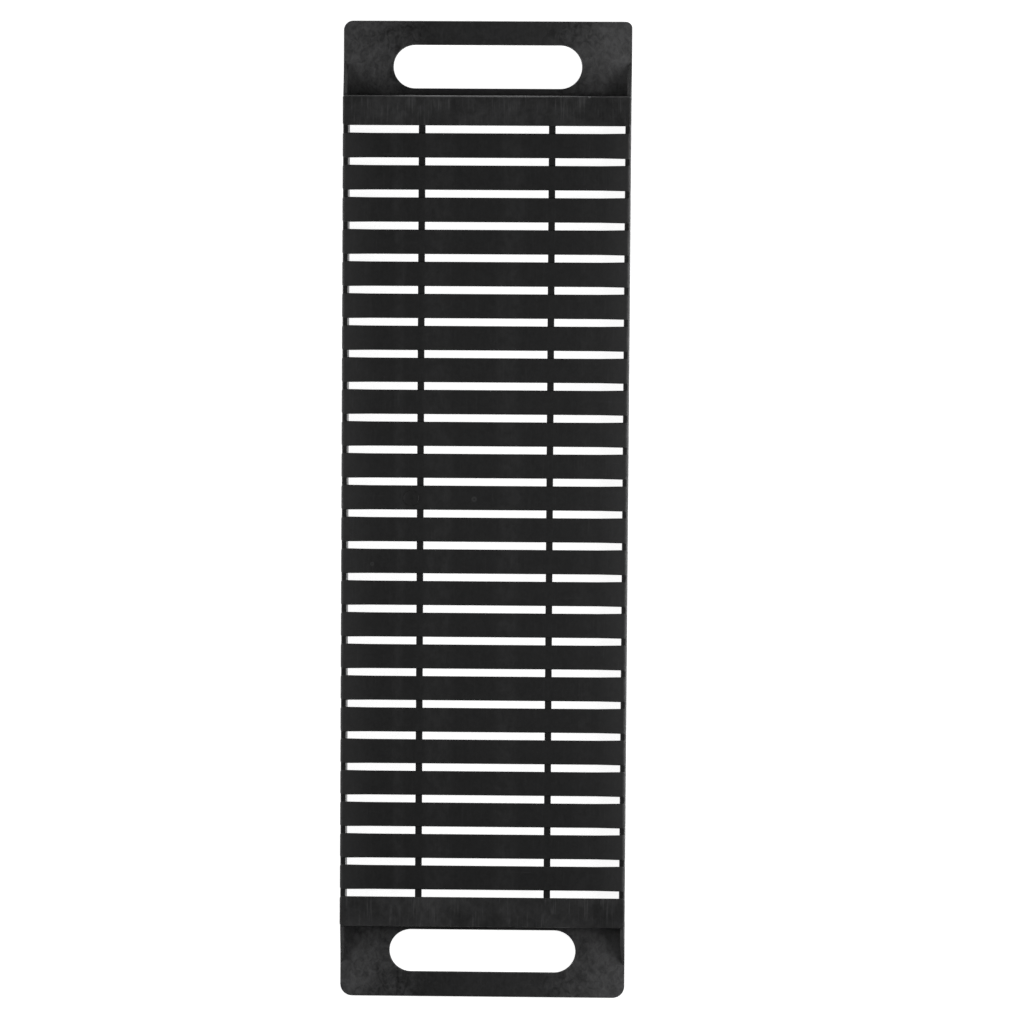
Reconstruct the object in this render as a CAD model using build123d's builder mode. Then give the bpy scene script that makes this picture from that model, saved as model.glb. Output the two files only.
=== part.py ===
"""Beehive queen excluder: a raised slatted grille with a hand-hold plate at each end.

Frame: +Z up, +Y along the length, +X across the width. The origin is the centre of the
underside, on the surface the part rests on. The grille stands on two side rails and two
end walls, like an upturned tray. Twenty-four slats and two end bands lie across it and are
seated in shallow notches over the rails and over two lengthwise ribs, so that the slots
between them are the bee gauge. Millimetres throughout.
"""
import os
from math import cos, radians, tan

from build123d import *

# ---------------------------------------------------------------- driving dimensions
LENGTH = 539.3            # over both handle plates
BASE_WIDTH = 158.2        # over the feet of the side rails, and of the handle plates
HEIGHT = 18.3             # underside to the slats' top face

SLOT_GAUGE = 4.1          # clear width of a slot: a worker passes, a queen does not
SLOT_ROWS = 25            # rows of slots, three slots to a row
PITCH = 17.4              # slot to slot
SLAT_WIDTH = PITCH - SLOT_GAUGE
SLAT_THICK = 2.5
SLAT_DRAFT = 10.0         # degrees, a slat narrows towards its underside
SLAT_HALF = 78.35         # half length of a slat and of an end band
SLAT_CORNER = 1.3         # plan radius of a slat's corners
SLAT_EDGE = 0.45          # fillet round a slat's top edge
EDGE_BACK = SLAT_EDGE * (1 / cos(radians(SLAT_DRAFT)) + tan(radians(SLAT_DRAFT)) - 1)
# how far the widest line of a drafted, filleted edge lies inside its sharp corner
END_ROLL = 1.2            # radius over a slat's ends
FLARE_LEFT, FLARE_RIGHT = 0.20, 0.28   # a slat widens by this on each side at its ends
FLARE_FROM = 62.5         # where the widening starts, from the middle
SEAT_DEPTH = 1.2          # notch under a slat where it sits on a rail or a rib

FRAME_TOP = HEIGHT - SLAT_THICK + SEAT_DEPTH   # top of rails and ribs
UNDER = HEIGHT - SLAT_THICK                    # underside of the slats

RAIL_IN_TOP, RAIL_IN_FOOT = 75.3, 75.7          # inner face of a side rail, from the middle
RAIL_OUT_TOP, RAIL_OUT_FOOT = 78.1, BASE_WIDTH / 2   # outer face
RAIL_OUT_EDGE, RAIL_IN_EDGE = 0.9, 0.35

RIB_LEFT_X, RIB_RIGHT_X = -35.12, 35.58        # middles of the lengthwise ribs
RIB_WIDTH, RIB_FOOT_WIDTH = 3.7, 2.8
RIB_DEPTH = 8.0
RIB_EDGE = 0.4

END_OUT = 227.15          # outer face of an end wall, from the middle
END_THICK = 2.4
BAND_IN = (SLOT_ROWS - 1) / 2 * PITCH + SLOT_GAUGE / 2
REAR_BAND_EDGE, FRONT_BAND_EDGE = 1.1, 0.4     # fillet along a band's outer top edge
BAND_TAPER = 0.44         # a band's inner edge runs back by this to its underside

PLATE_THICK = 2.5
PLATE_EDGE = 0.6
HAND_REAR_Y, HAND_FRONT_Y = 244.8, -244.0      # middles of the hand slots
HAND_LENGTH, HAND_WIDTH = 103.4, 23.8
HAND_EDGE = 0.5
REAR_LEFT_R, REAR_RIGHT_R, FRONT_R = 5.2, 3.6, 6.6

GUSSET_REAR, GUSSET_FRONT = 20.4, 23.8         # length of a gusset along a plate
GUSSET_IN, GUSSET_NOSE = 76.2, 78.1            # inner face of a gusset: at the wall, at its tip
GATE_X, GATE_R, GATE_RISE = -39.95, 4.2, 0.3    # moulding gate pad on one slat
GATE_SLAT = 12

os.makedirs("parts", exist_ok=True)


def save(part, label):
    part.label = label
    export_step(part, f"parts/{label}.step")


def rail_profile(side, foot):
    """Corners (x, z) of a side rail's section from height foot up, side -1 left or +1 right."""
    lean_in = (RAIL_IN_FOOT - RAIL_IN_TOP) / FRAME_TOP
    lean_out = (RAIL_OUT_FOOT - RAIL_OUT_TOP) / FRAME_TOP
    return [
        (side * (RAIL_IN_FOOT - lean_in * foot), foot),
        (side * (RAIL_OUT_FOOT - lean_out * foot), foot),
        (side * RAIL_OUT_TOP, FRAME_TOP),
        (side * RAIL_IN_TOP, FRAME_TOP),
    ]


# ---------------------------------------------------------------- side rails
rails = {}
for side, name in ((-1, "left_side_rail"), (1, "right_side_rail")):
    with BuildPart() as rail:
        with BuildSketch(Plane.XZ.offset(-END_OUT)):
            with BuildLine():
                Polyline(*rail_profile(side, 0.0), close=True)
            make_face()
        extrude(amount=2 * END_OUT)
        tops = rail.edges().filter_by(Axis.Y).group_by(Axis.Z)[-1].sort_by(Axis.X)
        fillet(tops[-1 if side > 0 else 0], RAIL_OUT_EDGE)
        tops = rail.edges().filter_by(Axis.Y).group_by(Axis.Z)[-1].sort_by(Axis.X)
        fillet(tops[0 if side > 0 else -1], RAIL_IN_EDGE)
    rails[side] = rail.part
    save(rail.part, name)

# ---------------------------------------------------------------- lengthwise ribs
for rib_x, name in ((RIB_LEFT_X, "left_long_rib"), (RIB_RIGHT_X, "right_long_rib")):
    with BuildPart() as rib:
        with BuildSketch(Plane.XZ.offset(-(END_OUT - END_THICK))):
            with BuildLine():
                Polyline(
                    (rib_x - RIB_FOOT_WIDTH / 2, FRAME_TOP - RIB_DEPTH),
                    (rib_x + RIB_FOOT_WIDTH / 2, FRAME_TOP - RIB_DEPTH),
                    (rib_x + RIB_WIDTH / 2, UNDER),
                    (rib_x + RIB_WIDTH / 2, FRAME_TOP),
                    (rib_x - RIB_WIDTH / 2, FRAME_TOP),
                    (rib_x - RIB_WIDTH / 2, UNDER),
                    close=True,
                )
            make_face()
        extrude(amount=2 * (END_OUT - END_THICK))
        feet = rib.edges().filter_by(Axis.Y).group_by(Axis.Z)[0]
        fillet(feet, 0.6)
        tops = rib.edges().filter_by(Axis.Y).group_by(Axis.Z)[-1]
        fillet(tops, RIB_EDGE)
    save(rib.part, name)

# ---------------------------------------------------------------- end walls
for end, name in ((-1, "front_end_wall"), (1, "rear_end_wall")):
    with BuildPart() as wall:
        with BuildSketch(Plane.XY):
            with Locations((0, end * (END_OUT - END_THICK / 2))):
                Rectangle(2 * RAIL_OUT_FOOT, END_THICK)
        extrude(amount=UNDER)
        add(rails[-1], mode=Mode.SUBTRACT)
        add(rails[1], mode=Mode.SUBTRACT)
    middle = wall.part.solids().sort_by(SortBy.VOLUME)[-1]
    save(Part(middle.wrapped), name)

# ---------------------------------------------------------------- slats and end bands
SEAT_AT = [
    (-(RAIL_IN_TOP + SLAT_HALF + 1) / 2, SLAT_HALF + 1 - RAIL_IN_TOP),
    (RIB_LEFT_X, RIB_WIDTH),
    (RIB_RIGHT_X, RIB_WIDTH),
    ((RAIL_IN_TOP + SLAT_HALF + 1) / 2, SLAT_HALF + 1 - RAIL_IN_TOP),
]                         # middle and width of each notch across a slat's underside

for number in range(1, SLOT_ROWS):
    y = ((SLOT_ROWS - 1) / 2 - number + 0.5) * PITCH
    front, rear = y - SLAT_WIDTH / 2 - EDGE_BACK, y + SLAT_WIDTH / 2 + EDGE_BACK
    tip = SLAT_HALF + EDGE_BACK
    with BuildPart() as slat:
        with BuildSketch(Plane.XY.offset(HEIGHT)) as plan:
            with BuildLine():
                Polyline(
                    (-tip, front - FLARE_LEFT), (-FLARE_FROM, front),
                    (FLARE_FROM, front), (tip, front - FLARE_RIGHT),
                    (tip, rear + FLARE_RIGHT), (FLARE_FROM, rear),
                    (-FLARE_FROM, rear), (-tip, rear + FLARE_LEFT),
                    close=True,
                )
            make_face()
            ends = plan.vertices().group_by(Axis.X)
            fillet([*ends[0], *ends[-1]], SLAT_CORNER)
        extrude(amount=-SLAT_THICK, taper=SLAT_DRAFT)
        with BuildSketch(Plane.XZ.offset(-y)) as roll:
            with Locations((0, HEIGHT - SLAT_THICK)):
                Rectangle(2 * SLAT_HALF, 2 * SLAT_THICK)
            fillet(roll.vertices().group_by(Axis.Y)[-1], END_ROLL)
        extrude(amount=SLAT_WIDTH, both=True, mode=Mode.INTERSECT)
        long_edges = slat.faces().sort_by(Axis.Z)[-1].edges().sort_by(Axis.Y)
        fillet([long_edges[0], long_edges[-1]], SLAT_EDGE)
        with BuildSketch(Plane.XY.offset(UNDER)):
            for seat_x, seat_width in SEAT_AT:
                with Locations((seat_x, y)):
                    Rectangle(seat_width, SLAT_WIDTH + 2)
        extrude(amount=SEAT_DEPTH, mode=Mode.SUBTRACT)
        if number == GATE_SLAT:
            with BuildSketch(Plane.XY.offset(HEIGHT)):
                with Locations((GATE_X, y - 0.3)):
                    Circle(GATE_R)
            extrude(amount=GATE_RISE)
            rim = slat.faces().sort_by(Axis.Z)[-1].edges()
            fillet(rim, 0.22)
            with BuildSketch(Plane.XY.offset(HEIGHT + GATE_RISE)):
                with Locations((GATE_X, y - 0.3)):
                    Circle(0.9)
            extrude(amount=-0.2, mode=Mode.SUBTRACT)
    save(slat.part, f"slat_{number:02d}")

for end, name in ((-1, "front_end_band"), (1, "rear_end_band")):
    with BuildPart() as band:
        with BuildSketch(Plane.YZ.offset(-SLAT_HALF)):
            with BuildLine():
                Polyline(
                    (end * (BAND_IN + BAND_TAPER), UNDER),
                    (end * END_OUT, UNDER),
                    (end * END_OUT, HEIGHT),
                    (end * (BAND_IN - EDGE_BACK), HEIGHT),
                    close=True,
                )
            make_face()
        extrude(amount=2 * SLAT_HALF)
        outer_top = band.edges().filter_by(Axis.X).group_by(Axis.Z)[-1].sort_by(Axis.Y)
        fillet(outer_top[-1 if end > 0 else 0], REAR_BAND_EDGE if end > 0 else FRONT_BAND_EDGE)
        inner_top = band.edges().filter_by(Axis.X).group_by(Axis.Z)[-1].sort_by(Axis.Y)
        fillet(inner_top[0 if end > 0 else -1], SLAT_EDGE)
        with BuildSketch(Plane.XY.offset(UNDER)):
            for seat_x, seat_width in SEAT_AT:   # rib notches stop at the end wall
                over_rail = abs(seat_x) > RIB_RIGHT_X + 1
                reach = END_OUT + 1 if over_rail else END_OUT - END_THICK
                with Locations((seat_x, end * (BAND_IN - PITCH / 2 + reach) / 2)):
                    Rectangle(seat_width, reach - BAND_IN + PITCH / 2)
        extrude(amount=SEAT_DEPTH, mode=Mode.SUBTRACT)
        sides = band.faces().filter_by(Axis.X)
        for face in (sides.sort_by(Axis.X)[0], sides.sort_by(Axis.X)[-1]):
            fillet(face.edges().filter_by(Axis.Y).sort_by(Axis.Z)[-1], END_ROLL)
    save(band.part, name)

# ---------------------------------------------------------------- gussets
for end, end_name, length in ((-1, "front", GUSSET_FRONT), (1, "rear", GUSSET_REAR)):
    for side, side_name in ((-1, "left"), (1, "right")):
        start, tip = END_OUT, END_OUT + length
        with BuildPart() as gusset:
            low = Plane.XZ.offset(-start if end > 0 else start)
            with BuildSketch(low):
                with BuildLine():
                    Polyline(*rail_profile(side, PLATE_THICK), close=True)
                make_face()
            extrude(amount=-length if end > 0 else length)
            with BuildSketch(Plane.YZ.offset(-BASE_WIDTH)):
                with BuildLine():
                    Polyline(
                        (end * (start + 1.0), FRAME_TOP),
                        (end * (tip - 0.2), PLATE_THICK),
                        (end * (tip + 4), PLATE_THICK),
                        (end * (tip + 4), FRAME_TOP + 4),
                        (end * (start + 1.0), FRAME_TOP + 4),
                        close=True,
                    )
                make_face()
            extrude(amount=2 * BASE_WIDTH, mode=Mode.SUBTRACT)
            with BuildSketch(Plane.XY):          # inner face, leaning out to a narrow nose
                with BuildLine():
                    Polyline(
                        (side * (RAIL_IN_TOP - 3), end * (start - 1)),
                        (side * GUSSET_IN, end * (start - 1)),
                        (side * (GUSSET_IN + 0.15), end * (start + 0.55 * length)),
                        (side * GUSSET_NOSE, end * (tip + 0.5)),
                        (side * (RAIL_IN_TOP - 3), end * (tip + 0.5)),
                        close=True,
                    )
                make_face()
            extrude(amount=HEIGHT, mode=Mode.SUBTRACT)
        save(gusset.part, f"{end_name}_{side_name}_gusset")

# ---------------------------------------------------------------- handle plates
for end, name in ((-1, "front_handle_plate"), (1, "rear_handle_plate")):
    near, far = END_OUT, LENGTH / 2
    radii = {(-1, -1): FRONT_R, (-1, 1): FRONT_R, (1, -1): REAR_LEFT_R, (1, 1): REAR_RIGHT_R}
    hand_y = HAND_REAR_Y if end > 0 else HAND_FRONT_Y
    with BuildPart() as plate:
        with BuildSketch(Plane.XY) as plan:
            with Locations((0, end * (near + far) / 2)):
                Rectangle(BASE_WIDTH, far - near)
            corners = plan.vertices().group_by(Axis.Y)[-1 if end > 0 else 0].sort_by(Axis.X)
            fillet(corners[0], radii[(end, -1)])
            corners = plan.vertices().group_by(Axis.Y)[-1 if end > 0 else 0].sort_by(Axis.X)
            fillet(corners[-1], radii[(end, 1)])
            with Locations((0, hand_y)):
                SlotOverall(HAND_LENGTH, HAND_WIDTH, mode=Mode.SUBTRACT)
        extrude(amount=PLATE_THICK)
        top = plate.faces().sort_by(Axis.Z)[-1]
        hand = top.inner_wires()[0].edges()
        fillet(hand, HAND_EDGE)
        bottom = plate.faces().sort_by(Axis.Z)[0]
        fillet(bottom.inner_wires()[0].edges(), HAND_EDGE)
        rim = plate.faces().sort_by(Axis.Z)[-1].outer_wire().edges()
        inside = rim.filter_by(Axis.X).sort_by(Axis.Y)[0 if end > 0 else -1]
        fillet([edge for edge in rim if edge != inside], PLATE_EDGE)
    save(plate.part, name)

print("slots", SLOT_ROWS * 3, "slat width", round(SLAT_WIDTH, 3), "band", round(END_OUT - BAND_IN, 2))
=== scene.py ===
import math

import bpy
from mathutils import Matrix, Vector

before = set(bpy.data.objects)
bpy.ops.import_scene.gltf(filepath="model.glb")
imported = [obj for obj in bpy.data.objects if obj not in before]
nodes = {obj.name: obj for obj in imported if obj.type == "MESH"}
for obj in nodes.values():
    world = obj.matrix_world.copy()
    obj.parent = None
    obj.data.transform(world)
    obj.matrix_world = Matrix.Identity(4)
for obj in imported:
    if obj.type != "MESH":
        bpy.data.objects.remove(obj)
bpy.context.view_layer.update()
scene = bpy.context.scene


# ------------------------------------------------------------------ node helpers
class Graph:
    """Small helper that adds shader nodes to a material or world and joins them."""

    def __init__(self, tree):
        self.tree = tree
        self.tree.nodes.clear()

    def add(self, kind, **settings):
        node = self.tree.nodes.new(kind)
        for key, value in settings.items():
            setattr(node, key, value)
        return node

    def join(self, source, target):
        self.tree.links.new(source, target)

    def feed(self, socket, value):
        if isinstance(value, bpy.types.NodeSocket):
            self.join(value, socket)
        else:
            socket.default_value = value

    def math(self, operation, a, b=0.0, c=None, clamp=False):
        node = self.add("ShaderNodeMath", operation=operation, use_clamp=clamp)
        self.feed(node.inputs[0], a)
        self.feed(node.inputs[1], b)
        if c is not None:
            self.feed(node.inputs[2], c)
        return node.outputs[0]

    def remap(self, value, low, high, to_low=0.0, to_high=1.0, smooth=True):
        node = self.add(
            "ShaderNodeMapRange",
            interpolation_type="SMOOTHSTEP" if smooth else "LINEAR",
        )
        node.clamp = True
        self.feed(node.inputs["Value"], value)
        for name, number in (
            ("From Min", low), ("From Max", high), ("To Min", to_low), ("To Max", to_high),
        ):
            self.feed(node.inputs[name], number)
        return node.outputs["Result"]

    def stretch(self, vector, sx, sy, sz, offset=(0.0, 0.0, 0.0)):
        node = self.add("ShaderNodeMapping", vector_type="POINT")
        self.join(vector, node.inputs["Vector"])
        node.inputs["Scale"].default_value = (sx, sy, sz)
        node.inputs["Location"].default_value = offset
        return node.outputs["Vector"]

    def noise(self, vector, scale, detail=3.0, rough=0.5, distort=0.0, kind="FBM"):
        node = self.add("ShaderNodeTexNoise", noise_dimensions="3D")
        self.join(vector, node.inputs["Vector"])
        node.inputs["Scale"].default_value = scale
        node.inputs["Detail"].default_value = detail
        node.inputs["Roughness"].default_value = rough
        node.inputs["Distortion"].default_value = distort
        return node.outputs["Fac"]

    def cells(self, vector, scale, feature="F1", randomness=1.0):
        node = self.add("ShaderNodeTexVoronoi", feature=feature)
        self.join(vector, node.inputs["Vector"])
        node.inputs["Scale"].default_value = scale
        node.inputs["Randomness"].default_value = randomness
        return node.outputs["Distance"]


def band_of(g, value, centre, half, soft):
    """1 inside centre +- half, falling to 0 over soft."""
    gap = g.math("ABSOLUTE", g.math("SUBTRACT", value, centre))
    return g.remap(gap, half, half + soft, 1.0, 0.0)


# ------------------------------------------------------------------ moulded plastic
def plastic(name, tone, cloud=0.0, streak=0.0, smudge=0.0, side_light=0.0, cross_light=0.0, gloss=0.5,
            wave=0.00003, seed=0.0, mottle=0.0, side_light_from=0.045, spots=(), polish_and_highlight_from=None,
            calm=1.0, edge_shade=0.0, end_highlight=0.0, slope_light=0.0, root=0.0):
    """Black moulded polypropylene.

    tone    base reflectance
    cloud   strength of the wide cloudy blotches
    streak  strength of drag lines along Y
    smudge  strength of the flow marks that run along Y at fixed places across the width
    ends    how much painted side light makes the surface paler towards the sides
    lean    how much painted light grades across the width: paler on the right when positive, on the left when negative
    gloss   mean roughness
    wave    height in metres of the slow waviness of the surface
    mottle  strength of the small dark and pale patches
    spots   (x, y, radius, strength) of single blemishes, in metres
    polish_and_highlight_from  beyond this Y the surface is rubbed smoother and carries a painted highlight along its
    edge, in metres
    calm    how much of the patchiness is left in the middle of the width
    rim     how much painted shade darkens the rounded edges against the flat faces
    tip     how much painted highlight brightens the last millimetre and a half of each end
    slope   how much painted light brightens a face that slopes along Y
    root    how much painted fill light brightens the strip beside the end wall
    """
    mat = bpy.data.materials.new(name)
    mat.use_nodes = True
    g = Graph(mat.node_tree)
    texture = g.add("ShaderNodeTexCoord")
    coords = texture.outputs["Object"]
    facing = g.add("ShaderNodeSeparateXYZ")
    g.join(texture.outputs["Normal"], facing.inputs[0])
    mm = g.stretch(coords, 1000.0, 1000.0, 1000.0, (seed, seed * 0.7, seed * 1.3))
    split = g.add("ShaderNodeSeparateXYZ")
    g.join(coords, split.inputs[0])
    x, y, z = split.outputs

    # wide clouds, about 20 mm, broken by smaller ones, about 6 mm
    wide = g.noise(mm, 0.05, 4.0, 0.55, 0.6)
    small = g.noise(g.stretch(mm, 1.0, 0.7, 1.0), 0.22, 4.0, 0.6, 0.3)
    clouds = g.math("MULTIPLY", g.remap(wide, 0.35, 0.68), g.remap(small, 0.25, 0.75, 0.45, 1.25))
    # drag lines along Y: fine across X, long along Y
    lines = g.noise(g.stretch(mm, 0.9, 0.045, 0.3), 1.0, 3.0, 0.6, 0.15)
    broken = g.noise(g.stretch(mm, 0.16, 0.09, 0.16), 1.0, 2.0, 0.5)
    drags = g.math("MULTIPLY", g.remap(lines, 0.48, 0.74), g.remap(broken, 0.38, 0.62))
    # flow marks at fixed places across the width
    wobble = g.math("MULTIPLY", g.math("SUBTRACT", g.noise(g.stretch(mm, 0.02, 0.012, 0.02), 1.0, 2.0), 0.5), 0.010)
    xw = g.math("ADD", x, wobble)
    marks = g.math("ADD", band_of(g, xw, -0.0470, 0.0012, 0.0030),
                   band_of(g, xw, -0.0260, 0.0045, 0.0060))
    marks = g.math("ADD", marks, band_of(g, xw, 0.0135, 0.0030, 0.0060))
    marks = g.math("ADD", marks, g.math("MULTIPLY", band_of(g, xw, 0.0560, 0.0020, 0.0060), 0.6))
    marks = g.math("MULTIPLY", marks, g.remap(small, 0.35, 0.65, 0.25, 1.0))
    # painted light: paler towards the sides, and graded across the width, a little more on the right
    side = g.remap(g.math("ABSOLUTE", x), side_light_from, 0.078)
    right = g.remap(x, -0.078, 0.078, -1.0, 1.0, smooth=False)
    # fine grain of the mould surface
    grain = g.noise(mm, 3.2, 2.0, 0.6)
    specks = g.remap(g.cells(mm, 0.33), 0.03, 0.09, 1.0, 0.0)
    sparse = g.remap(g.noise(mm, 0.07, 1.0), 0.56, 0.66)
    specks = g.math("MULTIPLY", specks, sparse)
    # hairline scratches, few, in several directions
    hair = None
    for turn, offset in ((0.35, 3.0), (1.15, 11.0), (-0.6, 29.0)):
        rot = g.add("ShaderNodeMapping", vector_type="POINT")
        g.join(mm, rot.inputs["Vector"])
        rot.inputs["Rotation"].default_value = (0.0, 0.0, turn)
        rot.inputs["Location"].default_value = (offset, offset, 0.0)
        rot.inputs["Scale"].default_value = (0.018, 0.75, 0.3)
        line = g.noise(rot.outputs["Vector"], 1.0, 0.0, 0.5, 0.35)
        thin = g.remap(g.math("ABSOLUTE", g.math("SUBTRACT", line, 0.5)), 0.0, 0.0035, 1.0, 0.0)
        gate = g.remap(g.noise(rot.outputs["Vector"], 0.37, 1.0), 0.60, 0.66)
        thin = g.math("MULTIPLY", thin, gate)
        hair = thin if hair is None else g.math("MAXIMUM", hair, thin)

    # small patches, 1 to 4 mm, broken up by the clouds
    patch = g.noise(g.stretch(mm, 0.34, 0.26, 0.3), 1.0, 5.0, 0.68, 0.9)
    patch = g.math("SUBTRACT", g.remap(patch, 0.30, 0.70), 0.5)
    # single blemishes
    flaws = None
    for sx, sy, radius, strength in spots:
        dx = g.math("SUBTRACT", x, sx)
        dy = g.math("SUBTRACT", y, sy)
        gap = g.math("SQRT", g.math("ADD", g.math("MULTIPLY", dx, dx), g.math("MULTIPLY", dy, dy)))
        ring = g.remap(g.math("ABSOLUTE", g.math("SUBTRACT", gap, radius * 0.6)), radius * 0.15, radius * 0.5, strength, 0.0)
        flaws = ring if flaws is None else g.math("ADD", flaws, ring)

    # patches and clouds die down in the middle of the width
    far = g.math("ABSOLUTE", x)
    lively = g.remap(far, 0.026, 0.050, calm, 1.0)
    # painted edge shade on the rounded edges: the faces that are neither level nor upright
    painted_edge_shade = g.remap(facing.outputs[2], 0.20, 0.93, 1.0, 0.0)

    # reflectance
    value = g.math("ADD", 1.0, g.math("MULTIPLY", g.math("MULTIPLY", g.math("SUBTRACT", clouds, 0.30), cloud), lively))
    value = g.math("ADD", value, g.math("MULTIPLY", drags, streak))
    value = g.math("ADD", value, g.math("MULTIPLY", marks, smudge))
    # painted side light: paler towards the sides
    value = g.math("ADD", value, g.math("MULTIPLY", side, side_light))
    # painted light graded across the width
    value = g.math("ADD", value, g.math("MULTIPLY", right, cross_light))
    value = g.math("ADD", value, g.math("MULTIPLY", g.math("SUBTRACT", grain, 0.5), 0.35))
    value = g.math("ADD", value, g.math("MULTIPLY", specks, 0.8))
    value = g.math("ADD", value, g.math("MULTIPLY", hair, 0.7))
    value = g.math("ADD", value, g.math("MULTIPLY", g.math("MULTIPLY", patch, mottle), lively))
    # painted highlight on the last millimetre and a half of each end, stronger on the right end
    if end_highlight:
        painted_end_highlight = g.remap(far, 0.0764, 0.0772)
        painted_end_highlight = g.math("MULTIPLY", painted_end_highlight, g.remap(x, -0.01, 0.01, 0.45, 1.0))
        painted_end_highlight = g.math("MULTIPLY", painted_end_highlight, g.remap(small, 0.30, 0.65, 0.55, 1.25))
        value = g.math("ADD", value, g.math("MULTIPLY", painted_end_highlight, end_highlight))
    # painted light on the faces that slope along Y
    if slope_light:
        painted_slope_light = g.remap(g.math("ABSOLUTE", facing.outputs[1]), 0.30, 0.50)
        painted_slope_light = g.math("MULTIPLY", painted_slope_light, g.remap(facing.outputs[2], 0.30, 0.50))
        value = g.math("ADD", value, g.math("MULTIPLY", painted_slope_light, slope_light))
    if flaws is not None:
        value = g.math("ADD", value, flaws)
    # painted fill light on the strip beside the end wall
    if root:
        painted_wall_fill = g.remap(g.math("ABSOLUTE", y), 0.2290, 0.2350, 1.0, 0.0)
        value = g.math("ADD", value, g.math("MULTIPLY", painted_wall_fill, root))
    # painted shade darkens the rounded edges
    if edge_shade:
        value = g.math("MULTIPLY", value, g.math("SUBTRACT", 1.0, g.math("MULTIPLY", painted_edge_shade, edge_shade)))
    # painted highlight along the edge beyond polish_and_highlight_from, brightest near the middle of the width; the
    # lower roughness below is the rubbed smoother surface
    if polish_and_highlight_from is not None:
        line = g.math("MULTIPLY", g.remap(y, polish_and_highlight_from, polish_and_highlight_from + 0.0003),
                      g.remap(g.math("ABSOLUTE", g.math("ADD", x, 0.004)), 0.020, 0.055, 1.0, 0.25))
        value = g.math("ADD", value, g.math("MULTIPLY", line, 6.0))
    value = g.math("MAXIMUM", value, 0.12)
    value = g.math("MULTIPLY", value, tone)
    colour = g.add("ShaderNodeCombineColor")
    g.join(value, colour.inputs[0])
    g.join(value, colour.inputs[1])
    g.join(g.math("MULTIPLY", value, 1.015), colour.inputs[2])

    # roughness: clouds and drags are a little smoother, grain rougher
    rough = g.math("ADD", gloss, g.math("MULTIPLY", g.math("SUBTRACT", clouds, 0.35), -0.14))
    rough = g.math("ADD", rough, g.math("MULTIPLY", drags, -0.08))
    rough = g.math("ADD", rough, g.math("MULTIPLY", g.math("SUBTRACT", grain, 0.5), 0.16))
    rough = g.math("ADD", rough, g.math("MULTIPLY", hair, 0.15), clamp=True)

    if polish_and_highlight_from is not None:
        rough = g.math("ADD", rough, g.remap(y, polish_and_highlight_from, polish_and_highlight_from + 0.0004, 0.0, -0.27), clamp=True)

    # relief: slow waviness, mould grain, scratches
    slow = g.add("ShaderNodeBump")
    slow.inputs["Strength"].default_value = 1.0
    slow.inputs["Distance"].default_value = wave
    g.join(g.noise(g.stretch(mm, 1.0, 0.8, 1.0), 0.075, 2.0, 0.4), slow.inputs["Height"])
    fine = g.add("ShaderNodeBump")
    fine.inputs["Strength"].default_value = 0.6
    fine.inputs["Distance"].default_value = 0.000012
    g.join(g.math("SUBTRACT", grain, g.math("MULTIPLY", hair, 0.8)), fine.inputs["Height"])
    g.join(slow.outputs["Normal"], fine.inputs["Normal"])

    shader = g.add("ShaderNodeBsdfPrincipled")
    g.join(colour.outputs[0], shader.inputs["Base Color"])
    g.join(rough, shader.inputs["Roughness"])
    g.join(fine.outputs["Normal"], shader.inputs["Normal"])
    shader.inputs["IOR"].default_value = 1.49
    # painted edge shade: the specular level drops on the rounded edges too
    if edge_shade:
        g.join(g.remap(painted_edge_shade, 0.0, 1.0, 0.36, 0.36 * (1.0 - edge_shade), smooth=False),
               shader.inputs["Specular IOR Level"])
    else:
        shader.inputs["Specular IOR Level"].default_value = 0.36
    out = g.add("ShaderNodeOutputMaterial")
    g.join(shader.outputs[0], out.inputs["Surface"])
    return mat


slat_look = plastic("plastic_slat", 0.0188, cloud=0.38, streak=0.45, smudge=0.50, side_light=0.80,
                    cross_light=0.06, gloss=0.50, mottle=0.34, side_light_from=0.057, end_highlight=2.4,
                    spots=((-0.0056, 0.0080, 0.0016, 1.2), (-0.0612, -0.0277, 0.0012, 1.0)))
band_look = plastic("plastic_band", 0.0280, cloud=1.0, streak=1.5, smudge=0.30, side_light=0.05,
                    cross_light=-0.10, gloss=0.50, seed=40.0, mottle=0.40,
                    spots=((0.0556, 0.2267, 0.0008, 4.0),), polish_and_highlight_from=0.2261)
plate_look = plastic("plastic_plate", 0.0325, cloud=1.3, streak=0.30, side_light=1.45, cross_light=0.42,
                     gloss=0.47, wave=0.00008, seed=90.0, mottle=1.6, side_light_from=0.030,
                     calm=0.26, edge_shade=0.85, root=0.75)
gusset_look = plastic("plastic_gusset", 0.0420, cloud=0.60, streak=0.20, gloss=0.46, seed=120.0,
                      mottle=0.5, slope_light=0.25)
wall_look = plastic("plastic_wall", 0.0180, cloud=0.35, streak=0.15, gloss=0.5, seed=150.0, mottle=0.3)
rail_look = plastic("plastic_rail", 0.0180, cloud=0.30, gloss=0.44, seed=210.0, mottle=0.3)

for name, piece in nodes.items():
    if name.startswith("slat_"):
        look = slat_look
    elif name.endswith("_band"):
        look = band_look
    elif name.endswith("_plate"):
        look = plate_look
    elif name.endswith("_gusset"):
        look = gusset_look
    elif name.endswith("_rail") or name.endswith("_rib"):
        look = rail_look
    else:
        look = wall_look
    piece.data.materials.clear()
    piece.data.materials.append(look)


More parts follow.
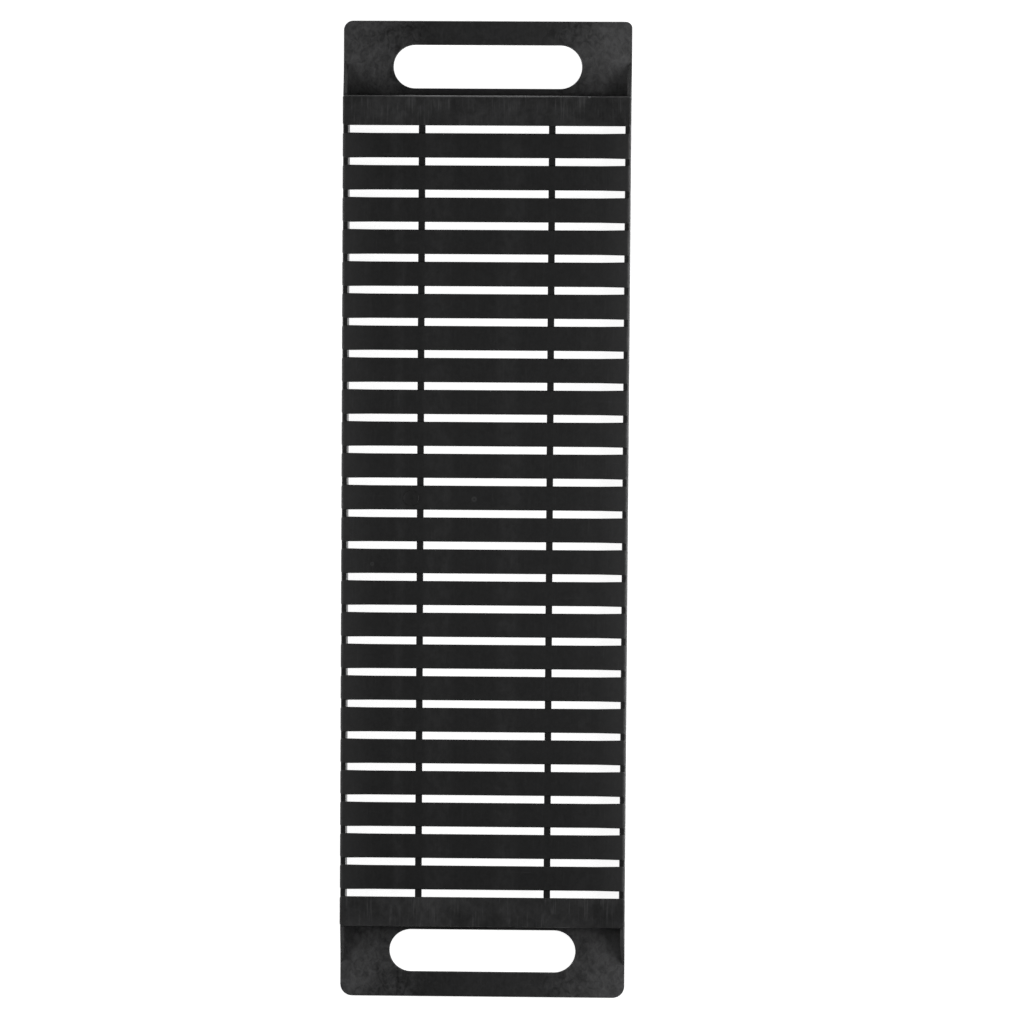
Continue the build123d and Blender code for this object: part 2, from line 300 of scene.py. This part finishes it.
# ------------------------------------------------------------------ floor
def floor_material():
    mat = bpy.data.materials.new("pale_floor")
    mat.use_nodes = True
    g = Graph(mat.node_tree)
    coords = g.add("ShaderNodeTexCoord").outputs["Object"]
    fibre = g.noise(coords, 900.0, 3.0, 0.6)
    shade = g.remap(fibre, 0.2, 0.8, 0.86, 0.90, smooth=False)
    colour = g.add("ShaderNodeCombineColor")
    for k in range(3):
        g.join(shade, colour.inputs[k])
    shader = g.add("ShaderNodeBsdfPrincipled")
    g.join(colour.outputs[0], shader.inputs["Base Color"])
    shader.inputs["Roughness"].default_value = 0.9
    shader.inputs["Specular IOR Level"].default_value = 0.1
    shader.inputs["Emission Color"].default_value = (1.0, 1.0, 1.0, 1.0)
    shader.inputs["Emission Strength"].default_value = 0.9
    out = g.add("ShaderNodeOutputMaterial")
    g.join(shader.outputs[0], out.inputs["Surface"])
    return mat


bpy.ops.mesh.primitive_grid_add(x_subdivisions=8, y_subdivisions=8, size=12.0, location=(0, 0, -0.0003))
floor = bpy.context.object
floor.name = "studio_floor"
floor.data.materials.append(floor_material())

# ------------------------------------------------------------------ studio light
world = bpy.data.worlds.new("studio")
scene.world = world
world.use_nodes = True
g = Graph(world.node_tree)
split = g.add("ShaderNodeSeparateXYZ")
g.join(g.add("ShaderNodeTexCoord").outputs["Generated"], split.inputs[0])
height = g.remap(split.outputs[2], 0.02, 0.70, 0.38, 0.05)
across = g.math("POWER", g.math("ABSOLUTE", split.outputs[0]), 1.5)
sideways = g.math("ADD", g.math("ADD", 0.45, g.math("MULTIPLY", across, 0.75)),
                  g.math("MULTIPLY", split.outputs[0], 0.18))
back = g.add("ShaderNodeBackground")
back.inputs["Color"].default_value = (1.0, 1.0, 1.0, 1.0)
g.join(g.math("MULTIPLY", height, sideways), back.inputs["Strength"])
g.join(back.outputs[0], g.add("ShaderNodeOutputWorld").inputs["Surface"])


def soft_light(name, place, aim, wide, tall, watts):
    lamp = bpy.data.lights.new(name, "AREA")
    lamp.shape = "RECTANGLE"
    lamp.size, lamp.size_y = wide, tall
    lamp.energy = watts
    lamp.color = (1.0, 1.0, 1.0)
    holder = bpy.data.objects.new(name, lamp)
    scene.collection.objects.link(holder)
    holder.location = place
    holder.rotation_euler = (Vector(aim) - Vector(place)).to_track_quat("-Z", "Y").to_euler()
    return holder


soft_light("right_box", (0.78, 0.0, 0.24), (0.0, 0.0, 0.02), 0.34, 1.4, 8.0)
soft_light("left_box", (-0.82, 0.05, 0.24), (0.0, 0.0, 0.02), 0.34, 1.4, 5.4)

# ------------------------------------------------------------------ camera
cam_data = bpy.data.cameras.new("camera")
cam_data.sensor_fit = "HORIZONTAL"
cam_data.sensor_width = 36.0
cam_data.lens = 2500.0 / 1024.0 * 36.0
cam_data.clip_start = 0.05
cam_data.clip_end = 50.0
camera = bpy.data.objects.new("camera", cam_data)
scene.collection.objects.link(camera)
turn = (
    Matrix.Rotation(0.04023, 3, "X")
    @ Matrix.Rotation(-0.01414, 3, "Y")
    @ Matrix.Rotation(-0.00662, 3, "Z")
)
back_turn = turn.transposed()
place = back_turn @ Vector((0.014843, 0.000353, 1.383000))
camera.matrix_world = Matrix.Translation(place) @ back_turn.to_4x4()
scene.camera = camera

scene.view_settings.view_transform = "Standard"
scene.view_settings.look = "None"
scene.view_settings.exposure = 0.0
scene.view_settings.gamma = 1.0
